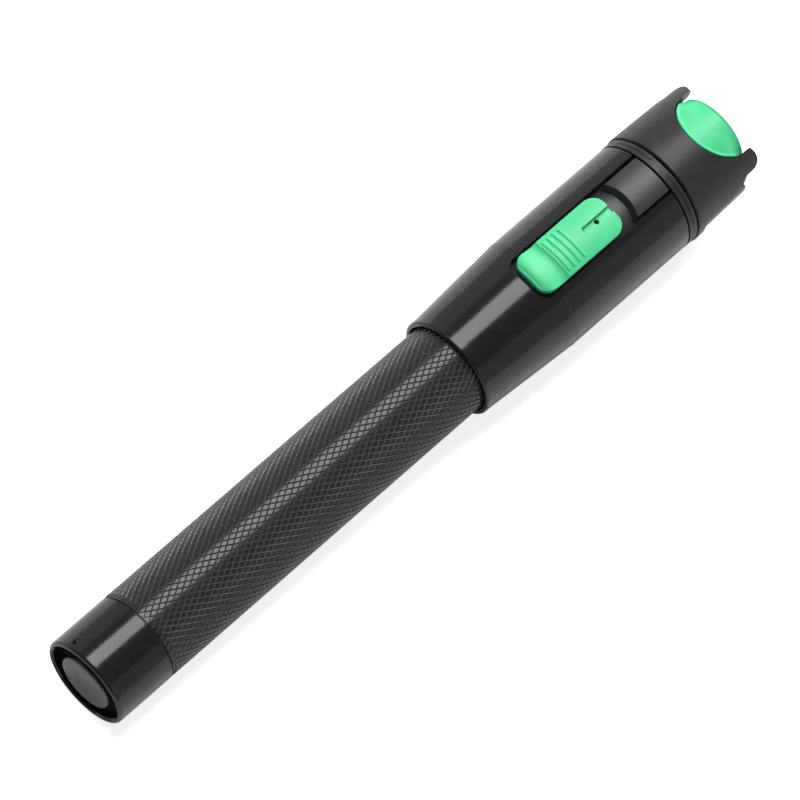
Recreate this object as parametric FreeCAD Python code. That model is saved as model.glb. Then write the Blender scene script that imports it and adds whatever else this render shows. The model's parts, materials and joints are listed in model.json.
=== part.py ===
import FreeCAD, Part
import math
import os

# Pen-type visual fault locator, in millimetres.
#
# The solids are drawn in the pen's own frame: x runs along the axis from the tail
# face to the head, y = z = 0 is the axis, and the slide switch faces +z.  place()
# then moves every solid into the part's frame: origin under the middle of the pen,
# on the plane of the hinge feet that it lies on.

# ---- tail cap ----------------------------------------------------------------
TAIL_R = 10.15
TAIL_LENGTH = 14.4
TAIL_RIM_ROUND = 0.8
TAIL_RECESS_R = 8.95
TAIL_RECESS_DEPTH = 3.2
MAGNET_R = 6.28
MAGNET_THICKNESS = 4.2
MAGNET_ROUND = 0.6
TAIL_WEB = 1.8
TAIL_THREAD_R = 8.75
TAIL_THREAD_LENGTH = 8.0
TAIL_CAVITY_R = 7.5
TAIL_INNER_CHAMFER = 0.45
TAIL_FRONT_CHAMFER = 0.2
LANYARD_HOLE_R = 0.7
LANYARD_HOLE_X = 2.1
LANYARD_HOLE_ANGLE = 33.0

# ---- battery tube ------------------------------------------------------------
KNURL_CREST_R = 10.15
KNURL_DEPTH = 0.35
KNURL_STARTS = 30
KNURL_HELIX_ANGLE = 31.0
BARREL_BORE_R = 7.5
HEAD_THREAD_R = 9.2
HEAD_THREAD_LENGTH = 9.2
CELL_R = 7.1
CELL_LENGTH = 50.5
CELL_NUB_R = 2.75
CELL_NUB_HEIGHT = 1.0
CELL_SHOULDER_ROUND = 0.6
CELL_CRIMP_SETBACK = 3.0
SPRING_LENGTH = 6.0
SPRING_WIRE_R = 0.4
SPRING_BASE_R = 6.2
SPRING_TIP_R = 4.0
SPRING_TURNS = 3
O_RING_SECTION_R = 0.4
O_RING_GROOVE_WIDTH = 1.1
O_RING_SETBACK = 0.8

# ---- fits --------------------------------------------------------------------
THREAD_CLEARANCE = 0.05
SEAT_CLEARANCE = 0.05
MOVING_CLEARANCE = 0.3
PIN_CLEARANCE = 0.05
END_GAP = 0.3

# ---- head shell --------------------------------------------------------------
LIP_WALL = 0.95
LIP_ROUND = 0.5
LIP_LENGTH = 2.0
LIP_OVERLAP = 2.5
LIP_GAP = 0.5
HEAD_R = 13.0
HEAD_LENGTH = 57.3
SLOT_EDGE_CHAMFER = 0.15
CONE_LENGTH = 22.6
HEAD_WALL = 2.0
LEDGE_R = 8.2
LEDGE_THICKNESS = 2.7
SLOT_WIDTH = 11.2
SLOT_CORNER_R = 2.75
SLOT_LENGTH = 37.35

# ---- slide switch ------------------------------------------------------------
KNOB_REAR_GAP = 1.05
KNOB_FRONT_GAP = 1.7
KNOB_SIDE_GAP = 0.6
KNOB_REAR_CORNER_R = 3.0
KNOB_FRONT_CORNER_R = 3.1
KNOB_PROUD = 0.15
KNOB_CREST_PROUD = 0.4
KNOB_CREST_X = 3.1
KNOB_DISH_X = 6.0
KNOB_DISH_SINK = 0.35
KNOB_EDGE_ROUND = 0.5
KNOB_TRAVEL = 2.6
RIB_COUNT = 4
RIB_FIRST_X = 7.9
RIB_PITCH = 1.5
RIB_WIDTH = 0.78
RIB_HEIGHT = 0.25
RIB_HALF_ANGLE = 18.0
NOTCH_WIDTH = 1.6
NOTCH_CORNER_R = 0.5
NOTCH_LENGTH = 8.1
NOTCH_DEPTH = 1.2
PEEP_HOLE_R = 0.52
PEEP_HOLE_OFFSET = 4.1
PEEP_SLOT_LENGTH = 0.6
STEM_LENGTH = 5.0
STEM_WIDTH = 3.0
STEM_X = 8.2
LEVER_SIZE = 1.6
LEVER_REACH = 3.0
LEVER_ROOT = 1.2
LEVER_CLEARANCE = 0.1
LAND_HALF_WIDTH = 4.8
LAND_SINK = 0.25
LAND_LENGTH = 8.1
LAND_EDGE_R = 20.0
LAND_EDGE_SLOPE = 0.45

# ---- electronics and laser ---------------------------------------------------
INSULATOR_THICKNESS = 1.8
CONTACT_HEAD_R = 3.0
CONTACT_HEAD_THICKNESS = 0.9
CONTACT_STEM_R = 1.05
BOARD_HALF_WIDTH = 8.0
BOARD_THICKNESS = 1.2
BOARD_BOTTOM_Z = 1.5
CHIP_SIZE = 4.0
CHIP_HEIGHT = 1.2
CAPACITOR_SIZE = 1.6
BAY_HALF_WIDTH = 7.0
BAY_BOTTOM_Z = -4.0
BAY_ROOF = 2.35
SWITCH_BODY_LENGTH = 8.6
SWITCH_BODY_HALF_WIDTH = 2.2
SWITCH_BODY_HEIGHT = 4.2
LASER_LENGTH = 18.4
LASER_R = 5.5
LASER_BORE_R = 2.5
DIODE_FLANGE_R = 2.8
DIODE_FLANGE_THICKNESS = 1.2
DIODE_SEAT_SETBACK = 1.2
DIODE_LEAD_R = 0.22
DIODE_LEAD_PITCH = 1.0
DIODE_LEAD_OVERLAP = 1.4
DIODE_CAN_R = 2.05
DIODE_CAN_LENGTH = 3.2
LENS_THICKNESS = 2.0
LENS_EDGE_THICKNESS = 1.1
LENS_CENTRE_FLAT_R = 0.3
RETAINER_THICKNESS = 1.2
RETAINER_BORE_R = 1.6
ADAPTER_THREAD_R = 3.95
ADAPTER_THREAD_LENGTH = 5.6
ADAPTER_FLANGE_R = 7.2
ADAPTER_FLANGE_THICKNESS = 1.6
PORT_R = 4.75
PORT_LENGTH = 10.0
FERRULE_R = 1.25
SLEEVE_WALL = 0.68
SLEEVE_LENGTH = 13.6
SLEEVE_SLIT = 0.4
PORT_MOUTH_LENGTH = 1.8
PORT_MOUTH_CLEARANCE = 0.35
PORT_CHAMFER = 0.3
LIGHT_PATH_R = 1.6
NUT_FLATS = 12.0
NUT_THICKNESS = 2.2

# ---- spacer ring and crown collar ---------------------------------------------
REAR_GROOVE = 0.4
RING_WIDTH = 2.05
RING_PROUD = 0.05
RING_LINE_WIDTH = 0.15
RING_KEY_HALF_WIDTH = 2.2
RING_KEY_DEPTH = 0.25
FRONT_GROOVE = 0.45
COLLAR_PROUD = 0.3
COLLAR_TAPER = 0.5
COLLAR_LENGTH = 18.5
COLLAR_EDGE = 0.25
COLLAR_SPIGOT_DEPTH = 6.5
FLANGE_CLEARANCE = 0.8
COLLAR_WEB = 4.35
HORN_THICKNESS = 2.6
SCOOP_HALF_WIDTH = 8.55
SCOOP_DEPTH = 7.4
SCOOP_CENTRE_SETBACK = 3.0
HORN_LOWER_Z = 5.2
HORN_LENGTH = 5.0
HORN_TIP_ROUND = 1.9
HORN_ROOT_FILLET = 1.6
RECESS_START = 2.1
RECESS_TOP_Z = 2.5
RECESS_DEPTH = 1.15

# ---- hinge bracket and dust cap ------------------------------------------------
BRACKET_SINK = 0.4
BRACKET_FRONT_SETBACK = 3.6
BRACKET_CORNER_R = 1.6
HINGE_PIN_R = 0.7
HINGE_LUG_R = 1.5
HINGE_SETBACK = 2.5
HINGE_DROP = 0.1
HINGE_LUG_WIDTH = 2.0
KNUCKLE_HALF_WIDTH = 2.85
KNUCKLE_R = 1.4
FOOT_LENGTH = 8.7
FOOT_SLOPE = 2.8
SCREW_SHANK_R = 0.78
SCREW_HEAD_R = 1.4
SCREW_HEAD_HEIGHT = 0.9
SCREW_SLOT_WIDTH = 0.4
SCREW_SLOT_DEPTH = 0.4
SCREW_OFFSETS = (3.1, 8.5)
CAP_FACE_SETBACK = 1.4
CAP_FACE_GAP = 0.25
CAP_FACE_ROUND = 1.2
CAP_SIDE_TOP_Z = 4.7
CAP_PLUG_GAP = 1.0
CAP_PLUG_WALL = 1.8
CAP_PLUG_DEPTH = 5.1
CAP_SCOOP_GAP = 0.3
CAP_RIM_SINK = 0.15
CAP_RIM_WIDTH = 0.5
CAP_LIP_ROUND = 0.5
CAP_DISH_R = 10.0
CAP_DISH_SINK = 0.2
CAP_VISOR_THICKNESS = 3.6
SEAL_BOSS_R = 3.4
SEAL_THICKNESS = 2.5

# ---- radii and heights worked out from the sizes above ---------------------------
LIP_R = KNURL_CREST_R + LIP_GAP + LIP_WALL
HEAD_BORE_R = HEAD_R - HEAD_WALL
CHASSIS_R = HEAD_BORE_R - SEAT_CLEARANCE
BAY_TOP_Z = CHASSIS_R - BAY_ROOF
LAND_R = HEAD_R - LAND_SINK
RING_R = HEAD_R + RING_PROUD
COLLAR_REAR_R = HEAD_R + COLLAR_PROUD
COLLAR_FRONT_R = COLLAR_REAR_R - COLLAR_TAPER
COLLAR_SPIGOT_R = HEAD_BORE_R - SEAT_CLEARANCE
COLLAR_SPIGOT_BORE_R = ADAPTER_FLANGE_R + FLANGE_CLEARANCE
CROWN_BORE_R = COLLAR_FRONT_R - HORN_THICKNESS
RECESS_R = COLLAR_FRONT_R - RECESS_DEPTH
HINGE_Z = -COLLAR_FRONT_R - HINGE_DROP
CAP_FACE_R = RECESS_R - CAP_FACE_GAP
CAP_PLUG_R = CROWN_BORE_R - CAP_PLUG_GAP
CAP_DISH_TOP = COLLAR_FRONT_R - CAP_DISH_SINK

# ---- stations along the axis, worked out from the sizes above -------------------
CAVITY_START = MAGNET_THICKNESS + TAIL_WEB
CELL_START = CAVITY_START + SPRING_LENGTH
CONTACT_X = CELL_START + 2 * CELL_LENGTH
BARREL_END = CONTACT_X - HEAD_THREAD_LENGTH
KNURL_LENGTH = BARREL_END - TAIL_LENGTH
HEAD_START = BARREL_END - LIP_OVERLAP
HEAD_END = HEAD_START + HEAD_LENGTH
INSULATOR_REAR = CONTACT_X + CONTACT_HEAD_THICKNESS
LEDGE_END = CONTACT_X + END_GAP + LEDGE_THICKNESS
CHASSIS_START = LEDGE_END + INSULATOR_THICKNESS
SPIGOT_START = HEAD_END - COLLAR_SPIGOT_DEPTH
CHASSIS_END = SPIGOT_START - END_GAP
BOARD_START = CHASSIS_START + 2 * END_GAP
FLANGE_END = HEAD_END
LASER_END = FLANGE_END - ADAPTER_FLANGE_THICKNESS
LASER_START = LASER_END - LASER_LENGTH
BAY_END = LASER_START - END_GAP
BOARD_END = BAY_END - END_GAP
PORT_END = FLANGE_END + PORT_LENGTH
RING_START = HEAD_END + REAR_GROOVE
COLLAR_START = RING_START + RING_WIDTH + FRONT_GROOVE
COLLAR_END = COLLAR_START + COLLAR_LENGTH
WEB_START = FLANGE_END + SEAT_CLEARANCE
CROWN_FLOOR = WEB_START + COLLAR_WEB
SCOOP_CENTRE_X = COLLAR_END - SCOOP_CENTRE_SETBACK
HORN_ROOT_X = COLLAR_END - HORN_LENGTH
SLOT_X = HEAD_END - SLOT_LENGTH
LAND_X = HEAD_END - LAND_LENGTH
KNOB_X = SLOT_X + KNOB_REAR_GAP
KNOB_END = LAND_X - KNOB_FRONT_GAP - KNOB_TRAVEL
KNOB_HALF_WIDTH = SLOT_WIDTH / 2 - KNOB_SIDE_GAP
STEM_CENTRE_X = KNOB_X + STEM_X
BOARD_TOP_Z = BOARD_BOTTOM_Z + BOARD_THICKNESS
SWITCH_TOP_Z = BOARD_TOP_Z + SWITCH_BODY_HEIGHT
HINGE_X = COLLAR_END - HINGE_SETBACK
CAP_FACE_X = COLLAR_END - CAP_FACE_SETBACK
CAP_REAR_X = HORN_ROOT_X + MOVING_CLEARANCE
FOOT_Z = HINGE_Z - HINGE_LUG_R
FAR = 2 * COLLAR_REAR_R


def vec(x, y, z):
    return FreeCAD.Vector(x, y, z)


def revolve(points):
    """Solid of revolution about the pen's axis from (x, radius) corners."""
    wire = Part.makePolygon([vec(x, 0, r) for x, r in points] + [vec(points[0][0], 0, points[0][1])])
    return Part.Face(wire).revolve(vec(0, 0, 0), vec(1, 0, 0), 360)


def rod(radius, start, end, y=0.0, z=0.0):
    """Cylinder along the pen's axis."""
    return Part.makeCylinder(radius, end - start, vec(start, y, z), vec(1, 0, 0))


def tube(outer_r, inner_r, start, end):
    return rod(outer_r, start, end).cut(rod(inner_r, start - 1, end + 1))


def block(start, end, y0, y1, z0, z1):
    return Part.makeBox(end - start, y1 - y0, z1 - z0, vec(start, y0, z0))


def upright(radius, x, y, z0, z1):
    """Cylinder along z."""
    return Part.makeCylinder(radius, z1 - z0, vec(x, y, z0), vec(0, 0, 1))


def cross_rod(radius, x, z, half_width):
    """Cylinder along y, centred on the pen's middle plane."""
    return Part.makeCylinder(radius, 2 * half_width, vec(x, -half_width, z), vec(0, 1, 0))


def ring(major_r, section_r, x):
    return Part.makeTorus(major_r, section_r, vec(x, 0, 0), vec(1, 0, 0))


def edges_at(shape, test):
    """Edges whose centre of mass passes the test."""
    return [edge for edge in shape.Edges if test(edge.CenterOfMass, edge)]


def radius_of(point):
    """Distance from the pen's axis."""
    return math.hypot(point.y, point.z)


def circular_edges(shape, x, radius):
    """Full circles about the pen's axis at a station and radius."""
    found = []
    for edge in shape.Edges:
        curve = edge.Curve
        if not isinstance(curve, Part.Circle):
            continue
        if abs(curve.Radius - radius) < 1e-4 and abs(curve.Center.x - x) < 1e-4:
            found.append(edge)
    return found


def collar_radius(x):
    """Outside radius of the crown collar, which tapers towards its horns."""
    along = (x - COLLAR_START) / COLLAR_LENGTH
    return COLLAR_REAR_R + (COLLAR_FRONT_R - COLLAR_REAR_R) * along


# ---- tail ----------------------------------------------------------------------
def make_tail_cap():
    cap = rod(TAIL_R, 0, TAIL_LENGTH)
    cap = cap.fuse(rod(TAIL_THREAD_R, 0, TAIL_LENGTH + TAIL_THREAD_LENGTH)).removeSplitter()
    cap = cap.makeFillet(TAIL_RIM_ROUND, circular_edges(cap, 0, TAIL_R))
    cap = cap.makeChamfer(TAIL_FRONT_CHAMFER, circular_edges(cap, TAIL_LENGTH, TAIL_R))
    cap = cap.cut(rod(TAIL_RECESS_R, 0, TAIL_RECESS_DEPTH))
    cap = cap.makeChamfer(TAIL_INNER_CHAMFER, circular_edges(cap, 0, TAIL_RECESS_R))
    cap = cap.cut(rod(MAGNET_R + SEAT_CLEARANCE, 0, MAGNET_THICKNESS))
    cap = cap.cut(rod(TAIL_CAVITY_R, CAVITY_START, TAIL_LENGTH + TAIL_THREAD_LENGTH + 1))
    groove_x = TAIL_LENGTH + O_RING_SETBACK
    cap = cap.cut(tube(TAIL_R, TAIL_THREAD_R + THREAD_CLEARANCE - 2 * O_RING_SECTION_R,
                       groove_x, groove_x + O_RING_GROOVE_WIDTH))
    angle = math.radians(LANYARD_HOLE_ANGLE)
    out = vec(0, math.sin(angle), math.cos(angle))
    hole = Part.makeCylinder(LANYARD_HOLE_R, TAIL_R, vec(LANYARD_HOLE_X, 0, 0) + out * MAGNET_R, out)
    magnet_keep = rod(MAGNET_R + MOVING_CLEARANCE, 0, MAGNET_THICKNESS)
    return cap.cut(hole.cut(magnet_keep))


def make_tail_magnet():
    magnet = rod(MAGNET_R, 0, MAGNET_THICKNESS)
    return magnet.makeFillet(MAGNET_ROUND, circular_edges(magnet, 0, MAGNET_R))


def make_tail_spring():
    """Conical contact spring, wide on the cap's web and narrow on the cell."""
    height = SPRING_LENGTH - 2 * SPRING_WIRE_R
    taper = math.degrees(math.atan2(SPRING_TIP_R - SPRING_BASE_R, height))
    helix = Part.makeHelix(height / SPRING_TURNS, height, SPRING_BASE_R, taper)
    section = Part.Wire(Part.makeCircle(SPRING_WIRE_R, vec(SPRING_BASE_R, 0, 0), vec(0, 1, 0)))
    coil = Part.Wire(helix.Edges).makePipeShell([section], True, True)
    coil.rotate(vec(0, 0, 0), vec(0, 1, 0), 90)
    coil.translate(vec(CAVITY_START + SPRING_WIRE_R, 0, 0))
    return coil


def make_tail_o_ring():
    middle = TAIL_LENGTH + O_RING_SETBACK + O_RING_GROOVE_WIDTH / 2
    return ring(TAIL_THREAD_R + THREAD_CLEARANCE - O_RING_SECTION_R, O_RING_SECTION_R, middle)


# ---- battery tube ---------------------------------------------------------------
def knurl_rows():
    """Rows of half diamonds that fill the knurled length, an even number."""
    diamond_width = 2 * math.pi * KNURL_CREST_R / KNURL_STARTS
    diamond_length = diamond_width / math.tan(math.radians(KNURL_HELIX_ANGLE))
    return 2 * round(KNURL_LENGTH / diamond_length)


def knurled_rod():
    """Rod whose skin is the lattice of pyramids that two crossing helical cuts leave.

    The cuts cross at the low points.  Each diamond between four low points rises to
    one crest point, and each row is turned half a diamond from the last."""
    rows = knurl_rows()
    step = KNURL_LENGTH / rows
    valley_r = KNURL_CREST_R - KNURL_DEPTH
    points = []
    facets = []

    def add_point(row, turn, radius):
        angle = 2 * math.pi * turn / KNURL_STARTS
        points.append(vec(TAIL_LENGTH + row * step, radius * math.sin(angle), radius * math.cos(angle)))
        return len(points) - 1

    low = []
    for row in range(rows + 1):
        low.append([add_point(row, column + row % 2 / 2, valley_r) for column in range(KNURL_STARTS)])
    for row in range(1, rows):
        shift = row % 2
        for column in range(KNURL_STARTS):
            following = (column + 1) % KNURL_STARTS
            beside = following if shift else column
            left = low[row][column]
            right = low[row][following]
            behind = low[row - 1][beside]
            ahead = low[row + 1][beside]
            crest = add_point(row, column + (1 + shift) / 2, KNURL_CREST_R)
            facets += [(left, behind, crest), (behind, right, crest)]
            facets += [(right, ahead, crest), (ahead, left, crest)]
    rear_centre = add_point(0, 0, 0)
    front_centre = add_point(rows, 0, 0)
    for column in range(KNURL_STARTS):
        following = (column + 1) % KNURL_STARTS
        facets.append((low[0][column], low[0][following], low[1][column]))
        facets.append((low[rows][following], low[rows][column], low[rows - 1][column]))
        facets.append((low[0][following], low[0][column], rear_centre))
        facets.append((low[rows][column], low[rows][following], front_centre))
    skin = Part.Shape()
    skin.makeShapeFromMesh((points, facets), 1e-4)
    solid = Part.Solid(skin)
    if solid.Volume < 0:
        solid.reverse()
    return solid


def make_barrel():
    """Knurled tube with a threaded socket for the tail cap and a threaded nose."""
    nose_end = BARREL_END + HEAD_THREAD_LENGTH
    nose = rod(HEAD_THREAD_R, BARREL_END, nose_end)
    groove_x = BARREL_END + O_RING_SETBACK
    groove_r = HEAD_THREAD_R + THREAD_CLEARANCE - 2 * O_RING_SECTION_R
    nose = nose.cut(tube(LIP_R, groove_r, groove_x, groove_x + O_RING_GROOVE_WIDTH))
    socket_end = TAIL_LENGTH + TAIL_THREAD_LENGTH + SEAT_CLEARANCE
    socket = rod(TAIL_THREAD_R + 2 * THREAD_CLEARANCE, 0, socket_end)
    bore = rod(BARREL_BORE_R, 0, nose_end + 1)
    return knurled_rod().cut(socket.fuse(bore)).fuse(nose.cut(bore))


def make_cell(start):
    """Round cell: can with rounded shoulders, crimp line and positive nub."""
    can_end = start + CELL_LENGTH - CELL_NUB_HEIGHT
    round_r = CELL_SHOULDER_ROUND
    crimp_x = start + CELL_LENGTH - CELL_CRIMP_SETBACK
    can = revolve([(start, 0), (start, CELL_R - round_r), (start + round_r, CELL_R),
                   (crimp_x, CELL_R), (crimp_x + round_r / 2, CELL_R - round_r / 2),
                   (crimp_x + round_r, CELL_R), (can_end - round_r, CELL_R),
                   (can_end, CELL_R - round_r), (can_end, 0)])
    return can.fuse(rod(CELL_NUB_R, can_end, start + CELL_LENGTH))


def make_front_contact():
    """Contact button, its stem through the insulator and a leaf under the board."""
    leaf_top = BOARD_BOTTOM_Z
    leaf_bottom = CONTACT_STEM_R / 2
    leaf_start = CHASSIS_START + SEAT_CLEARANCE
    leaf = block(leaf_start, BOARD_START + CONTACT_HEAD_R, -CONTACT_STEM_R, CONTACT_STEM_R,
                 leaf_bottom, leaf_top)
    stem = rod(CONTACT_STEM_R, CONTACT_X, leaf_start + CONTACT_STEM_R)
    return rod(CONTACT_HEAD_R, CONTACT_X, INSULATOR_REAR).fuse(stem).fuse(leaf)


def make_contact_insulator():
    disc = rod(CHASSIS_R, LEDGE_END, CHASSIS_START)
    boss = rod(LEDGE_R - SEAT_CLEARANCE, INSULATOR_REAR, LEDGE_END)
    return disc.fuse(boss).cut(rod(CONTACT_STEM_R, CONTACT_X, CHASSIS_START + 1))


def make_head_o_ring():
    middle = BARREL_END + O_RING_SETBACK + O_RING_GROOVE_WIDTH / 2
    return ring(HEAD_THREAD_R + THREAD_CLEARANCE - O_RING_SECTION_R, O_RING_SECTION_R, middle)


# ---- head shell -------------------------------------------------------------------
def slot_prism(width, corner_r, start, end):
    """Upright prism of the switch slot: rounded at its rear, open past its end."""
    half = width / 2
    prism = block(start + corner_r, end, -half, half, 0, FAR)
    prism = prism.fuse(block(start, start + 2 * corner_r, -half + corner_r, half - corner_r, 0, FAR))
    for side in (-1, 1):
        prism = prism.fuse(upright(corner_r, start + corner_r, side * (half - corner_r), 0, FAR))
    return prism.removeSplitter()


def on_slot_rim(centre, edge):
    """Outer edges of the switch slot, apart from its open end."""
    inside = centre.x > SLOT_X - 0.01 and centre.x < HEAD_END - 0.01
    return inside and centre.z > HEAD_BORE_R * 0.9 and radius_of(centre) > HEAD_BORE_R + 0.5 and \
        abs(centre.y) <= SLOT_WIDTH / 2 + 0.01 and edge.Length > 0.5


def make_head_shell():
    lip_end = HEAD_START + LIP_LENGTH
    cone_end = lip_end + CONE_LENGTH
    shell = revolve([(HEAD_START, 0), (HEAD_START, LIP_R), (lip_end, LIP_R),
                     (cone_end, HEAD_R), (HEAD_END, HEAD_R), (HEAD_END, 0)])
    shell = shell.makeFillet(LIP_ROUND, circular_edges(shell, HEAD_START, LIP_R))
    ledge_start = LEDGE_END - LEDGE_THICKNESS
    shell = shell.cut(rod(KNURL_CREST_R + LIP_GAP, HEAD_START - 1, BARREL_END))
    shell = shell.cut(rod(HEAD_THREAD_R + THREAD_CLEARANCE * 2, BARREL_END - 1, ledge_start))
    shell = shell.cut(rod(LEDGE_R, BARREL_END, LEDGE_END + 1))
    shell = shell.cut(rod(HEAD_BORE_R, LEDGE_END, HEAD_END + 1))
    shell = shell.cut(slot_prism(SLOT_WIDTH, SLOT_CORNER_R, SLOT_X, HEAD_END + 1))
    rim = edges_at(shell, lambda centre, edge: on_slot_rim(centre, edge))
    return shell.makeChamfer(SLOT_EDGE_CHAMFER, rim)


# ---- switch -----------------------------------------------------------------------
def make_switch_chassis():
    """Moulded carrier in the head: board bay, laser bore and the land in the slot."""
    core = rod(CHASSIS_R, CHASSIS_START, CHASSIS_END)
    foot_z = math.sqrt(CHASSIS_R ** 2 - LAND_HALF_WIDTH ** 2)
    rise = LAND_R - foot_z
    land_start = LAND_X - 2 * rise
    strip = block(land_start, HEAD_END, -LAND_HALF_WIDTH, LAND_HALF_WIDTH, 0, FAR)
    land = tube(LAND_R, HEAD_BORE_R, land_start, HEAD_END).common(strip)
    land = land.fuse(tube(LAND_R, CHASSIS_R - 1, land_start, CHASSIS_END).common(strip))
    slope = Part.makeCone(LAND_EDGE_R - rise * LAND_EDGE_SLOPE, LAND_EDGE_R, rise,
                          vec(LAND_X - LAND_EDGE_R, 0, foot_z), vec(0, 0, 1))
    land = land.cut(slope)
    bay = block(CHASSIS_START - 1, BAY_END, -BAY_HALF_WIDTH, BAY_HALF_WIDTH, BAY_BOTTOM_Z, BAY_TOP_Z)
    rail_half = BOARD_HALF_WIDTH + SEAT_CLEARANCE
    rails = block(CHASSIS_START - 1, BOARD_END + SEAT_CLEARANCE, -rail_half, rail_half,
                  BOARD_BOTTOM_Z - SEAT_CLEARANCE, BOARD_TOP_Z + SEAT_CLEARANCE)
    window_half = STEM_LENGTH / 2 + MOVING_CLEARANCE
    window = block(STEM_CENTRE_X - window_half, STEM_CENTRE_X + window_half + KNOB_TRAVEL,
                   -STEM_WIDTH / 2 - MOVING_CLEARANCE, STEM_WIDTH / 2 + MOVING_CLEARANCE, 0, FAR)
    laser_bore = rod(LASER_R + SEAT_CLEARANCE, BAY_END - 1, CHASSIS_END + 1)
    chassis = core.cut(bay.fuse(rails).fuse(window).fuse(laser_bore))
    return chassis.fuse(land).removeSplitter()


def make_circuit_board():
    """Board with the driver chip and two capacitors soldered under its middle."""
    board = block(BOARD_START, BOARD_END, -BOARD_HALF_WIDTH, BOARD_HALF_WIDTH,
                  BOARD_BOTTOM_Z, BOARD_TOP_Z)
    middle = (BOARD_START + BOARD_END) / 2
    half = CHIP_SIZE / 2
    board = board.fuse(block(middle - half, middle + half, -half, half,
                             BOARD_BOTTOM_Z - CHIP_HEIGHT, BOARD_BOTTOM_Z))
    for side in (-1, 1):
        y = side * (half + CAPACITOR_SIZE)
        board = board.fuse(block(middle - CAPACITOR_SIZE / 2, middle + CAPACITOR_SIZE / 2,
                                 y - CAPACITOR_SIZE / 2, y + CAPACITOR_SIZE / 2,
                                 BOARD_BOTTOM_Z - CHIP_HEIGHT, BOARD_BOTTOM_Z))
    return board


def make_slide_switch_body():
    start = STEM_CENTRE_X - (SWITCH_BODY_LENGTH - KNOB_TRAVEL) / 2
    body = block(start, start + SWITCH_BODY_LENGTH, -SWITCH_BODY_HALF_WIDTH, SWITCH_BODY_HALF_WIDTH,
                 BOARD_TOP_Z, SWITCH_TOP_Z)
    lever_half = LEVER_SIZE / 2
    half = lever_half + LEVER_CLEARANCE
    slot = block(STEM_CENTRE_X - half, STEM_CENTRE_X + KNOB_TRAVEL + half, -half, half,
                 SWITCH_TOP_Z - LEVER_ROOT - LEVER_CLEARANCE, SWITCH_TOP_Z + 1)
    return body.cut(slot)


def make_slide_switch_lever():
    half = LEVER_SIZE / 2
    return block(STEM_CENTRE_X - half, STEM_CENTRE_X + half, -half, half,
                 SWITCH_TOP_Z - LEVER_ROOT, SWITCH_TOP_Z + LEVER_REACH)


def quarter_round(start, end, rising):
    """Quarter circle between a vertical and a level tangent, bulging outwards."""
    radius = abs(end.x - start.x)
    corner_x = start.x if rising > 0 else end.x
    corner_z = max(start.z, end.z)
    inset = radius * (1 - math.sqrt(0.5))
    middle = vec(corner_x + rising * inset, 0, corner_z - inset)
    return Part.Arc(start, middle, end).toShape()


def knob_outline():
    """Upright prism of the knob's plan, with its four rounded corners."""
    rear = slot_prism(2 * KNOB_HALF_WIDTH, KNOB_REAR_CORNER_R, KNOB_X, KNOB_END)
    half = KNOB_HALF_WIDTH
    corner = KNOB_FRONT_CORNER_R
    front = block(KNOB_X, KNOB_END - corner, -half, half, 0, FAR)
    front = front.fuse(block(KNOB_X, KNOB_END, -half + corner, half - corner, 0, FAR))
    for side in (-1, 1):
        front = front.fuse(upright(corner, KNOB_END - corner, side * (half - corner), 0, FAR))
    return rear.common(front.removeSplitter())


def knob_envelope():
    """Revolved top of the knob: rounded rear, crest, thumb dish and flat run."""
    flat_r = HEAD_R + KNOB_PROUD
    rear_knee = vec(KNOB_X + KNOB_EDGE_ROUND, 0, HEAD_R)
    rear_foot = vec(KNOB_X, 0, HEAD_R - KNOB_EDGE_ROUND)
    crest = vec(KNOB_X + KNOB_CREST_X, 0, HEAD_R + KNOB_CREST_PROUD)
    dish = vec(KNOB_X + KNOB_DISH_X, 0, HEAD_R - KNOB_DISH_SINK)
    flat = vec(KNOB_X + RIB_FIRST_X - RIB_WIDTH, 0, flat_r)
    front_knee = vec(KNOB_END - KNOB_EDGE_ROUND, 0, flat_r)
    front_foot = vec(KNOB_END, 0, flat_r - KNOB_EDGE_ROUND)
    saddle = Part.BSplineCurve()
    saddle.interpolate([rear_knee, crest, dish, flat])
    edges = [Part.LineSegment(vec(KNOB_X, 0, 0), rear_foot).toShape(),
             quarter_round(rear_foot, rear_knee, 1),
             saddle.toShape(),
             Part.LineSegment(flat, front_knee).toShape(),
             quarter_round(front_knee, front_foot, -1),
             Part.LineSegment(front_foot, vec(KNOB_END, 0, 0)).toShape(),
             Part.LineSegment(vec(KNOB_END, 0, 0), vec(KNOB_X, 0, 0)).toShape()]
    return Part.Face(Part.Wire(edges)).revolve(vec(0, 0, 0), vec(1, 0, 0), 360)


def thumb_rib(x):
    """One rounded rib across the knob, a short arc of a ring about the pen's axis."""
    top_r = HEAD_R + KNOB_PROUD
    rib = ring(top_r + RIB_HEIGHT - RIB_WIDTH / 2, RIB_WIDTH / 2, x)
    reach = top_r * math.sin(math.radians(RIB_HALF_ANGLE))
    return rib.common(block(x - RIB_WIDTH, x + RIB_WIDTH, -reach, reach, 0, FAR))


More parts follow.
